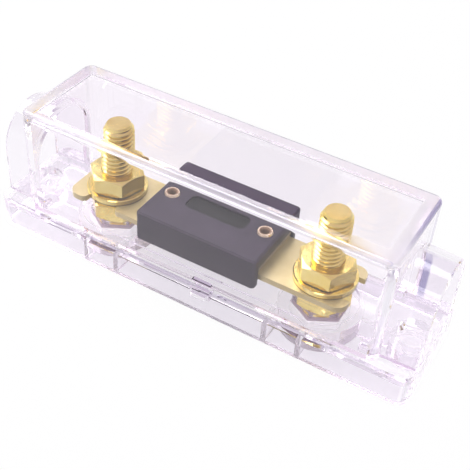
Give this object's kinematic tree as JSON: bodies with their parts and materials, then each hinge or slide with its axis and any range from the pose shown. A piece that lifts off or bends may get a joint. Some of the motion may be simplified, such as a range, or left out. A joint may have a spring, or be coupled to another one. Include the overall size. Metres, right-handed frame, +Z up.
{
  "type": "fuse holder",
  "caption": "Clear plastic holder for a bolted strip fuse: ribbed base with threaded studs, and a lift-off cover with a cable tunnel at each end.",
  "frame": {"origin": "middle of the base's underside", "axes": "+X along the holder from the side-slotted blade to the end-slotted one, +Y to the back, +Z up out of the base"},
  "size_m": [0.1202, 0.031, 0.0388],
  "materials": {
    "base_clear": "polished clear moulding with a faint lilac tint",
    "cover_clear": "polished clear moulding with a faint lilac tint",
    "gold_hardware": "bright gold-coloured plating",
    "gold_strip": "satin gold-coloured plating",
    "cap_dark": "dark grey moulding, satin",
    "liner_beige": "beige insulating sheet, dull",
    "liner_grey": "grey-beige insulating sheet, dull",
    "window_smoked": "smoked clear pane",
    "rivet_copper": "warm copper-coloured rolled rivet"
  },
  "bodies": {
    "holder": {"base": "base_clear", "bolt_left": "gold_hardware", "bolt_right": "gold_hardware", "lower_nut_left": "gold_hardware", "lower_nut_right": "gold_hardware", "washer_left": "gold_hardware", "washer_right": "gold_hardware", "upper_nut_left": "gold_hardware", "upper_nut_right": "gold_hardware", "fuse_blade": "gold_strip", "fuse_cap": "cap_dark", "fuse_bottom_plate": "cap_dark", "fuse_lower_liner": "liner_beige", "fuse_divider": "cap_dark", "fuse_upper_liner": "liner_grey", "fuse_window": "window_smoked", "fuse_rivet_left": "rivet_copper", "fuse_rivet_right": "rivet_copper"},
    "cover": {"cover": "cover_clear"}
  },
  "joints": [
    {"name": "cover_lift", "type": "slide", "parent": "holder", "child": "cover", "axis": [0, 0, 1], "range_m": [0, 0.035]}
  ]
}
